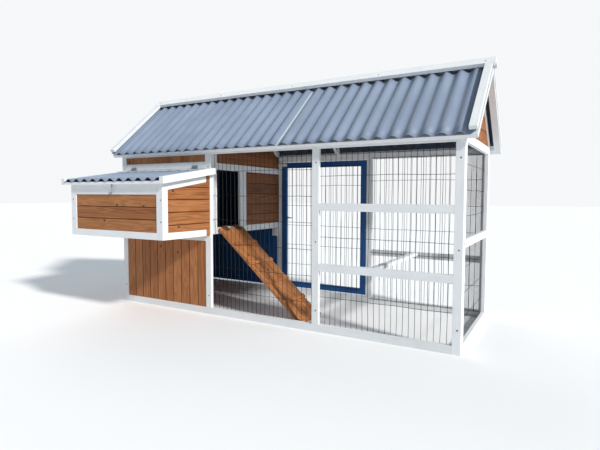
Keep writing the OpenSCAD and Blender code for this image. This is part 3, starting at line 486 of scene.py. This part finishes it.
def from_tree(tree, name, values, place, start=None):
    """Runs a node tree with its named inputs, and returns the result as a plain mesh piece."""
    holder = bpy.data.objects.new("holder", start or bpy.data.meshes.new("holder"))
    bpy.context.scene.collection.objects.link(holder)
    modifier = holder.modifiers.new("make", "NODES")
    modifier.node_group = tree
    for item in tree.interface.items_tree:
        if item.in_out == "INPUT" and item.name in values:
            modifier[item.identifier] = values[item.name]
    bpy.context.view_layer.update()
    evaluated = holder.evaluated_get(bpy.context.evaluated_depsgraph_get())
    piece = bpy.data.objects.new(name, bpy.data.meshes.new_from_object(evaluated))
    holder.modifiers.remove(modifier)
    bpy.data.objects.remove(holder)
    piece.data.name = name
    for face in piece.data.polygons:
        face.material_index = 0
    while len(piece.data.materials) > 1:
        piece.data.materials.pop(index=0)
    piece.data.transform(place)
    if place.determinant() < 0:
        piece.data.flip_normals()
    bpy.context.scene.collection.objects.link(piece)
    return piece


def mottled(name, scale, detail, dark, light, smooth, rough):
    """A coat whose colour and gloss change in the same small patches."""
    material, tree, shader = new_finish(name)
    place = put(tree, "ShaderNodeTexCoord").outputs["Object"]
    spots = put(tree, "ShaderNodeTexNoise", Vector=place, Scale=scale, Detail=detail)
    tint = put(tree, "ShaderNodeMix", {"data_type": "RGBA"}, Factor=spots.outputs["Fac"],
               i6=(*dark, 1), i7=(*light, 1))
    tree.links.new(tint.outputs[2], shader.inputs["Base Color"])
    gloss = put(tree, "ShaderNodeMapRange", Value=spots.outputs["Fac"], To_Min=smooth, To_Max=rough)
    tree.links.new(gloss.outputs[0], shader.inputs["Roughness"])
    return material, tree, shader, spots.outputs["Fac"]


def pitted(tree, shader, height, strength, depth):
    """Gives a coat small pits."""
    raised = put(tree, "ShaderNodeBump", Strength=strength, Distance=depth, Height=height)
    tree.links.new(raised.outputs[0], shader.inputs["Normal"])


wire_coat, tree, shader, spots = mottled("wire_coating", 60.0, 3.0, (0.006, 0.0065, 0.007),
                                         (0.022, 0.023, 0.025), 0.45, 0.7)
shader.inputs["Specular IOR Level"].default_value = 0.25
pitted(tree, shader, spots, 0.2, 0.0003)

welded = wire_tree()
wire_pitch = 0.0303
wire_gauge = 0.0024
mesh_lap = 0.009
for node, row_pitch, axis, facing, left_lap in (
        ("front_mesh_middle", 0.143, 0, 1, 0.0), ("front_mesh_run", 0.160, 0, 1, mesh_lap),
        ("run_back_mesh", 0.160, 0, -1, mesh_lap), ("right_end_mesh", 0.124, 1, -1, mesh_lap),
        ("mesh_door_mesh", 0.143, 0, -1, mesh_lap)):
    low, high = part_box(node)
    width = high[axis] - low[axis]
    clear = width - left_lap - mesh_lap
    tall = high.z - low.z
    columns = math.floor(clear / wire_pitch)
    rows = math.floor((tall - 2 * mesh_lap) / row_pitch)
    values = {"Columns": columns, "Rows": rows, "Column Pitch": wire_pitch, "Row Pitch": row_pitch,
              "First Column": left_lap + (clear - (columns - 1) * wire_pitch) / 2,
              "First Row": (tall - (rows - 1) * row_pitch) / 2 + wire_gauge / 2,
              "Width": width, "Height": tall, "Radius": wire_gauge / 2, "Bow": 0.010, "Finish": wire_coat}
    outer = (low if facing > 0 else high)[1 - axis]
    if axis == 0:
        place = Matrix(((1, 0, 0, low.x), (0, facing, 0, outer), (0, 0, 1, low.z), (0, 0, 0, 1)))
    else:
        place = Matrix(((0, facing, 0, outer), (1, 0, 0, low.y), (0, 0, 1, low.z), (0, 0, 0, 1)))
    piece = from_tree(welded, node + "_wires", values, place)
    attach(piece, frame["nodes"][node]["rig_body"])
    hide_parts(node)


# --- Corrugated roof sheets ------------------------------------------------
# Rolled sheet with sine waves at a 76 mm pitch, 18 mm deep, blue-grey outside; the dark
# navy beneath is painted shade for the dim underside of the roof. Two sheets cover each slope and lap by one
# wave.
def sheet_tree():
    tree = bpy.data.node_groups.new("corrugated_sheet", "GeometryNodeTree")
    for name, kind in (("Width", "NodeSocketFloat"), ("Length", "NodeSocketFloat"),
                       ("Pitch", "NodeSocketFloat"), ("Depth", "NodeSocketFloat"),
                       ("First Crest", "NodeSocketFloat"), ("Steps", "NodeSocketInt"),
                       ("Finish", "NodeSocketMaterial")):
        tree.interface.new_socket(name=name, in_out="INPUT", socket_type=kind)
    tree.interface.new_socket(name="Mesh", in_out="OUTPUT", socket_type="NodeSocketGeometry")
    given = tree.nodes.new("NodeGroupInput").outputs
    grid = put(tree, "GeometryNodeMeshGrid", Size_X=given["Width"], Size_Y=given["Length"],
               Vertices_X=given["Steps"], Vertices_Y=9)
    where = put(tree, "ShaderNodeSeparateXYZ", Vector=put(tree, "GeometryNodeInputPosition").outputs[0])
    half = put(tree, "ShaderNodeMath", {"operation": "DIVIDE"}, i0=given["Width"], i1=2.0)
    across = put(tree, "ShaderNodeMath", {"operation": "ADD"}, i0=where.outputs[0], i1=half.outputs[0])
    past = put(tree, "ShaderNodeMath", {"operation": "SUBTRACT"}, i0=across.outputs[0],
               i1=given["First Crest"])
    turns = put(tree, "ShaderNodeMath", {"operation": "DIVIDE"}, i0=past.outputs[0], i1=given["Pitch"])
    angle = put(tree, "ShaderNodeMath", {"operation": "MULTIPLY"}, i0=turns.outputs[0], i1=2 * math.pi)
    wave = put(tree, "ShaderNodeMath", {"operation": "COSINE"}, i0=angle.outputs[0])
    lifted = put(tree, "ShaderNodeMath", {"operation": "ADD"}, i0=wave.outputs[0], i1=1.0)
    depth = put(tree, "ShaderNodeMath", {"operation": "DIVIDE"}, i0=given["Depth"], i1=2.0)
    rise = put(tree, "ShaderNodeMath", {"operation": "MULTIPLY"}, i0=lifted.outputs[0], i1=depth.outputs[0])
    up = put(tree, "ShaderNodeMath", {"operation": "DIVIDE"}, i0=given["Length"], i1=2.0)
    move = put(tree, "ShaderNodeCombineXYZ", X=half.outputs[0], Y=up.outputs[0], Z=rise.outputs[0])
    waved = put(tree, "GeometryNodeSetPosition", Geometry=grid.outputs[0], Offset=move.outputs[0])
    smooth = put(tree, "GeometryNodeSetShadeSmooth", Geometry=waved.outputs[0])
    whole = put(tree, "GeometryNodeRealizeInstances", Geometry=smooth.outputs[0])
    done = put(tree, "GeometryNodeSetMaterial", Geometry=whole.outputs[0], Material=given["Finish"])
    tree.links.new(done.outputs[0], tree.nodes.new("NodeGroupOutput").inputs[0])
    return tree


def sheet_coat(name, lap_from, lap_to):
    """Satin coil coating with faint rolling marks, dust streaks and a paler line along the lap, partly dust
    and partly a painted highlight on the lapped edge.
    """
    material, tree, shader = new_finish(name)
    place = put(tree, "ShaderNodeTexCoord").outputs["Object"]
    long_way = put(tree, "ShaderNodeVectorMath", {"operation": "MULTIPLY"}, i0=place, i1=(38, 1.8, 1.8))
    streaks = put(tree, "ShaderNodeTexNoise", Vector=long_way.outputs[0], Scale=1.0, Detail=4.0,
                  Roughness=0.6)
    clouds = put(tree, "ShaderNodeTexNoise", Vector=place, Scale=4.0, Detail=3.0)
    specks = put(tree, "ShaderNodeTexNoise", Vector=place, Scale=420.0, Detail=2.0)
    mixed = put(tree, "ShaderNodeMath", {"operation": "MULTIPLY_ADD"}, i0=streaks.outputs["Fac"], i1=0.6,
                i2=clouds.outputs["Fac"])
    amount = put(tree, "ShaderNodeMapRange", Value=mixed.outputs[0], From_Min=0.5, From_Max=1.15)
    tint = put(tree, "ShaderNodeMix", {"data_type": "RGBA"}, Factor=amount.outputs[0],
               i6=(0.172, 0.220, 0.306, 1), i7=(0.236, 0.292, 0.388, 1))
    where = put(tree, "ShaderNodeSeparateXYZ", Vector=place)
    rise = put(tree, "ShaderNodeMapRange", {"interpolation_type": "SMOOTHSTEP"}, Value=where.outputs[0],
               From_Min=lap_from, From_Max=lap_from + 0.003)
    fall = put(tree, "ShaderNodeMapRange", {"interpolation_type": "SMOOTHSTEP"}, Value=where.outputs[0],
               From_Min=lap_to - 0.004, From_Max=lap_to, To_Min=1.0, To_Max=0.0)
    band = put(tree, "ShaderNodeMath", {"operation": "MULTIPLY"}, i0=rise.outputs[0], i1=fall.outputs[0])
    faint = put(tree, "ShaderNodeMath", {"operation": "MULTIPLY"}, i0=band.outputs[0], i1=0.8)
    # The paler band along the lap is partly dust and partly a painted highlight on the upper sheet's edge.
    lap_dust_and_highlight = put(tree, "ShaderNodeMix", {"data_type": "RGBA"}, Factor=faint.outputs[0],
                 i6=tint.outputs[2], i7=(0.50, 0.54, 0.58, 1))
    tree.links.new(lap_dust_and_highlight.outputs[2], shader.inputs["Base Color"])
    gloss = put(tree, "ShaderNodeMapRange", Value=clouds.outputs["Fac"], From_Min=0.3, From_Max=0.7,
                To_Min=0.42, To_Max=0.58)
    tree.links.new(gloss.outputs[0], shader.inputs["Roughness"])
    raised = put(tree, "ShaderNodeBump", Strength=0.12, Distance=0.0004, Height=specks.outputs["Fac"])
    tree.links.new(raised.outputs[0], shader.inputs["Normal"])
    return material


# The sheets' underside colour is a dark navy painted shade, standing in for the shade under the roof; the
# noise only mottles it.
underside_shade_coat, tree, shader, underside_mottle = mottled("navy_underside_painted_shade", 18.0, 5.0, (0.016, 0.027, 0.052),
                                            (0.040, 0.058, 0.094), 0.45, 0.7)
shader.inputs["Specular IOR Level"].default_value = 0.3
pitted(tree, shader, underside_mottle, 0.1, 0.0003)

rolled = sheet_tree()
wave_pitch = 0.076
wave_depth = 0.018
gauge = 0.0012


def lay_sheet(node, slope, first_crest, coat, facing):
    """Lays a sheet on its slope, its waves where the node's are. The front slope has facing -1."""
    low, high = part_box(node)
    rise = (wave_depth + gauge) * math.sin(slope)
    foot = low.y + rise if facing < 0 else high.y - rise
    top = high.y if facing < 0 else low.y
    length = abs(top - foot) / math.cos(slope)
    width = high.x - low.x
    values = {"Width": width, "Length": length, "Pitch": wave_pitch, "Depth": wave_depth,
              "First Crest": first_crest, "Steps": round(width / wave_pitch * 20) + 1, "Finish": coat}
    run = (0, -facing * math.cos(slope), math.sin(slope))
    out = (0, facing * math.sin(slope), math.cos(slope))
    place = Matrix(((1, run[0], out[0], low.x), (0, run[1], out[1], foot), (0, run[2], out[2], low.z),
                    (0, 0, 0, 1)))
    piece = from_tree(rolled, node + "_rolled", values, place)
    # The second slot, on the sheet's solidified underside, takes the dark painted shade coat.
    piece.data.materials.append(underside_shade_coat)
    thick = piece.modifiers.new("gauge", "SOLIDIFY")
    thick.thickness = gauge
    thick.offset = 1
    thick.material_offset = 1
    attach(piece, frame["nodes"][node]["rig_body"])
    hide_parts(node)


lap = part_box("roof_sheet_front_left")[1].x
slate_coat = sheet_coat("slate_coat", lap - 0.012, lap + 0.004)
roof_slope = math.radians(42.5)
for node, crest, facing in (("roof_sheet_front_left", 0.073, -1), ("roof_sheet_front_right", 0.038, -1),
                            ("roof_sheet_back_left", 0.073, 1), ("roof_sheet_back_right", 0.038, 1)):
    lay_sheet(node, roof_slope, crest, slate_coat, facing)

# --- House wall frame ------------------------------------------------------
# The wall between house and run has its own posts and rails around the pop-hole,
# painted like the outer frame.
for node in ("house_wall_posts", "house_wall_rails"):
    timber(node, white_paint)

# --- Nest box --------------------------------------------------------------
# A box hung on the front wall: white corner posts and rails, brown boards in the
# front and sides, and a boarded floor with two low partitions inside.
for node in ("nest_posts", "nest_front_rails", "nest_side_rails"):
    timber(node, white_paint)
low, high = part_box("nest_front_boards")
timber("nest_front_boards", brown_stain, board_ease, along, 2, low.z, (high.z - low.z) / 3)
lowest_side_board = 0.078
side_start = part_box("nest_side_boards")[0].z + lowest_side_board - board_width
timber("nest_side_boards", brown_stain, board_ease, deep, 2, side_start, board_width)
nest_floor_board_width = 0.095
timber("nest_floor", brown_stain, board_ease, along, 1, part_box("nest_floor")[0].y, nest_floor_board_width)
timber("nest_dividers", brown_stain, board_ease, deep)

# --- Nest box lid ----------------------------------------------------------
# Two side rails stand on edge, a flat lath joins them at the front and a deeper
# one at the back, and a short piece of the roof sheet lies between them.
for node in ("lid_side_rails", "lid_battens"):
    timber(node, white_paint)
lid_low, lid_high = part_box("lid_sheet")
beyond_lid = lid_high.x + 1.0
lid_coat = sheet_coat("lid_coat", beyond_lid, beyond_lid + 0.1)
lid_slope = math.radians(9.5)
nest_to_crest = 0.018
lid_crest = nest_to_crest - (lid_low.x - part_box("nest_posts")[0].x)
lay_sheet("lid_sheet", lid_slope, lid_crest, lid_coat, -1)

# --- Ramp ------------------------------------------------------------------
# One planed board with five cleats pinned across it for grip. It has a thinner,
# more orange stain than the walls, so its grain and knots stand out.
ramp_stain = stain("stained_ramp", (0.62, 0.27, 0.10), (0.40, 0.150, 0.050), (0.13, 0.048, 0.020),
                   0.6, 0.6)
ramp_slope = math.radians(41.2)
fall_line = (math.cos(ramp_slope), 0, -math.sin(ramp_slope))
timber("ramp_board", ramp_stain, 0.0012, fall_line)
timber("ramp_cleats", ramp_stain, 0.0012, deep)

# --- Doors -----------------------------------------------------------------
# Two doors fill the back of the house and of the middle bay. Both have a lath
# frame in dark blue satin paint, one with wire mesh and one with upright boards.
blue_paint = paint("painted_blue", (0.006, 0.085, 0.275), (0.004, 0.050, 0.175), 0.45, 0.4, 0.0)
for node in ("mesh_door_stiles", "mesh_door_rails", "solid_door_frame"):
    timber(node, blue_paint)
door_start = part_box("solid_door_boards")[0].x
timber("solid_door_boards", blue_paint, board_ease, upright, 0, door_start, board_width)

# --- Fittings --------------------------------------------------------------
# Butt hinges, barrel bolts, the lid's hook and its eyes are zinc plated steel,
# dulled by handling. The ramp's hinges are browned steel.
zinc, tree, shader, _ = mottled("dull_zinc", 240.0, 4.0, (0.20, 0.21, 0.225), (0.47, 0.48, 0.50),
                                0.3, 0.62)
shader.inputs["Metallic"].default_value = 0.9
place = put(tree, "ShaderNodeTexCoord").outputs["Object"]
rub = put(tree, "ShaderNodeTexNoise", Vector=place, Scale=1500.0, Detail=2.0)
pitted(tree, shader, rub.outputs["Fac"], 0.15, 0.0002)
dark_steel, tree, shader, rust = mottled("browned_steel", 160.0, 5.0, (0.075, 0.042, 0.026),
                                         (0.20, 0.105, 0.055), 0.45, 0.75)
shader.inputs["Metallic"].default_value = 0.5
pitted(tree, shader, rust, 0.3, 0.0003)
for node in ("ramp_hinge_leaves", "sill_hinge_plates"):
    fitting = frame["nodes"][node].data
    fitting.materials.clear()
    fitting.materials.append(dark_steel)
for node in ("nest_fittings", "lid_fittings", "lid_hook", "mesh_door_fittings", "mesh_door_bolt",
             "solid_door_fittings", "solid_door_bolt", "back_post_fittings"):
    fitting = frame["nodes"][node].data
    fitting.materials.clear()
    fitting.materials.append(zinc)

# --- Screws ----------------------------------------------------------------
# Round dished heads stand a hair proud: dull dark screws in the frame, smaller
# dull pins in the ramp's cleats, and zinc screws in the door hinges.
def screw_tree():
    tree = bpy.data.node_groups.new("screw_heads", "GeometryNodeTree")
    for name, kind in (("Points", "NodeSocketGeometry"), ("Head Radius", "NodeSocketFloat"),
                       ("Proud", "NodeSocketFloat"), ("Finish", "NodeSocketMaterial")):
        tree.interface.new_socket(name=name, in_out="INPUT", socket_type=kind)
    tree.interface.new_socket(name="Mesh", in_out="OUTPUT", socket_type="NodeSocketGeometry")
    given = tree.nodes.new("NodeGroupInput").outputs
    rim = put(tree, "GeometryNodeMeshCircle", {"fill_type": "NGON"}, Vertices=12,
              Radius=given["Head Radius"])
    dome = put(tree, "GeometryNodeExtrudeMesh", Mesh=rim.outputs[0], Offset_Scale=given["Proud"])
    crown = put(tree, "GeometryNodeScaleElements", Geometry=dome.outputs["Mesh"],
                Selection=dome.outputs["Top"], Scale=0.82)
    dish = put(tree, "GeometryNodeExtrudeMesh", Mesh=crown.outputs[0], Selection=dome.outputs["Top"],
               Offset_Scale=0.0)
    lip = put(tree, "GeometryNodeScaleElements", Geometry=dish.outputs["Mesh"],
              Selection=dish.outputs["Top"], Scale=0.45)
    sink = put(tree, "ShaderNodeMath", {"operation": "MULTIPLY"}, i0=given["Proud"], i1=-0.8)
    hole = put(tree, "GeometryNodeExtrudeMesh", Mesh=lip.outputs[0], Selection=dish.outputs["Top"],
               Offset_Scale=sink.outputs[0])
    facing = put(tree, "GeometryNodeInputNamedAttribute", {"data_type": "FLOAT_VECTOR"}, Name="facing")
    turn = put(tree, "FunctionNodeAlignRotationToVector", {"axis": "Z"}, Vector=facing.outputs[0])
    spin = put(tree, "FunctionNodeRandomValue", {"data_type": "FLOAT"}, i2=0.0, i3=3.0, Seed=5)
    twist = put(tree, "ShaderNodeCombineXYZ", Z=spin.outputs[1])
    angle = put(tree, "FunctionNodeRotateRotation", {"rotation_space": "LOCAL"}, Rotation=turn.outputs[0],
                Rotate_By=twist.outputs[0])
    heads = put(tree, "GeometryNodeInstanceOnPoints", Points=given["Points"], Instance=hole.outputs["Mesh"],
                Rotation=angle.outputs[0])
    whole = put(tree, "GeometryNodeRealizeInstances", Geometry=heads.outputs[0])
    done = put(tree, "GeometryNodeSetMaterial", Geometry=whole.outputs[0], Material=given["Finish"])
    tree.links.new(done.outputs[0], tree.nodes.new("NodeGroupOutput").inputs[0])
    return tree


def sticks(node):
    """The lowest and highest corners of each separate stick of a node."""
    shape = bmesh.new()
    shape.from_mesh(frame["nodes"][node].data)
    bmesh.ops.remove_doubles(shape, verts=shape.verts, dist=2e-5)
    found = []
    for group in islands(shape):
        places = [v.co for f in group for v in f.verts]
        found.append((Vector([min(p[k] for p in places) for k in range(3)]),
                      Vector([max(p[k] for p in places) for k in range(3)])))
    shape.free()
    return sorted(found, key=lambda pair: tuple(pair[0]))


heads = screw_tree()
leaf_gauge = 0.0020
leaf_inset = 0.012
pin_inset = 0.035
cleat_half_thickness = 0.005
dull_heads, _, shader, _ = mottled("dull_screw_heads", 700.0, 3.0, (0.035, 0.037, 0.042),
                                   (0.15, 0.155, 0.165), 0.4, 0.7)
shader.inputs["Metallic"].default_value = 0.6


def drive(name, body, points, finish, radius, proud):
    """Sets screw heads at the given points. Each point comes with the way its head faces."""
    seeds = bpy.data.meshes.new("seeds")
    seeds.from_pydata([p for p, way in points], [], [])
    layer = seeds.attributes.new("facing", "FLOAT_VECTOR", "POINT")
    layer.data.foreach_set("vector", [c for p, way in points for c in way])
    piece = from_tree(heads, name, {"Head Radius": radius, "Proud": proud, "Finish": finish},
                      Matrix(), seeds)
    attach(piece, body)


forward = Vector((0, -1, 0))
backward = Vector((0, 1, 0))
rightward = Vector((1, 0, 0))
leftward = Vector((-1, 0, 0))
wall_screw_heights = (0.114, 0.480, 0.895)
end_screw_heights = (0.020, 0.506)
nest_screw_heights = (0.578, 0.695)
frame_screws = []
for node, way in (("front_posts", forward), ("back_posts", backward)):
    for low, high in sticks(node):
        middle = (low + high) / 2
        face = low.y if way is forward else high.y
        for height in wall_screw_heights:
            frame_screws.append((Vector((middle.x + 0.003, face, height)), way))
for low, high in sticks("end_posts"):
    middle = (low + high) / 2
    outward = rightward if middle.x > 0 else leftward
    face = high.x if middle.x > 0 else low.x
    for height in end_screw_heights:
        frame_screws.append((Vector((face, middle.y, height)), outward))
for low, high in sticks("nest_posts"):
    middle = (low + high) / 2
    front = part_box("nest_front_boards")[0]
    if low.y < front.y + 0.03:
        edge = 0.018 if middle.x < front.x + 0.05 else high.x - low.x - 0.013
        for height in nest_screw_heights:
            frame_screws.append((Vector((low.x + edge, low.y, height)), forward))
low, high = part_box("ridge_boards")
ridge_y = (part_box("roof_sheet_front_left")[1].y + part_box("roof_sheet_back_left")[0].y) / 2
ridge_inset = 0.05
ridge_drop = 0.034
ridge_spacing = (high.x - low.x - 2 * ridge_inset) / 4
for facing in (-1, 1):
    out = Vector((0, facing * math.sin(roof_slope), math.cos(roof_slope)))
    down = Vector((0, facing * math.cos(roof_slope), -math.sin(roof_slope)))
    for k in range(5):
        start = Vector((low.x + ridge_inset + k * ridge_spacing, ridge_y, high.z))
        frame_screws.append((start + down * ridge_drop, out))
drive("frame_screws", "coop", frame_screws, dull_heads, radius=0.0041, proud=0.0007)
leaf_screws = {"mesh_door": [], "solid_door": [], "coop": []}
for node, body, inner in (("mesh_door_fittings", "mesh_door", -1), ("solid_door_fittings", "solid_door", 1),
                          ("back_post_fittings", "coop", 0)):
    for low, high in sticks(node):
        if high.z - low.z < 0.05:
            continue
        away = inner
        if body == "coop":
            away = 1 if low.x > 0 else -1
        x = low.x + leaf_inset if away < 0 else high.x - leaf_inset
        for z in (low.z + leaf_inset, high.z - leaf_inset):
            leaf_screws[body].append((Vector((x, low.y + leaf_gauge, z)), backward))
pins = []
out = Vector((math.sin(ramp_slope), 0, math.cos(ramp_slope)))
for low, high in sticks("ramp_cleats"):
    middle = (low + high) / 2
    for y in (low.y + pin_inset, middle.y, high.y - pin_inset):
        pins.append((Vector((middle.x, y, middle.z)) + out * cleat_half_thickness, out))
drive("cleat_pins", "ramp", pins, dull_heads, radius=0.0022, proud=0.0004)
for body, points in leaf_screws.items():
    drive(body + "_hinge_screws", body, points, zinc, radius=0.0030, proud=0.0006)
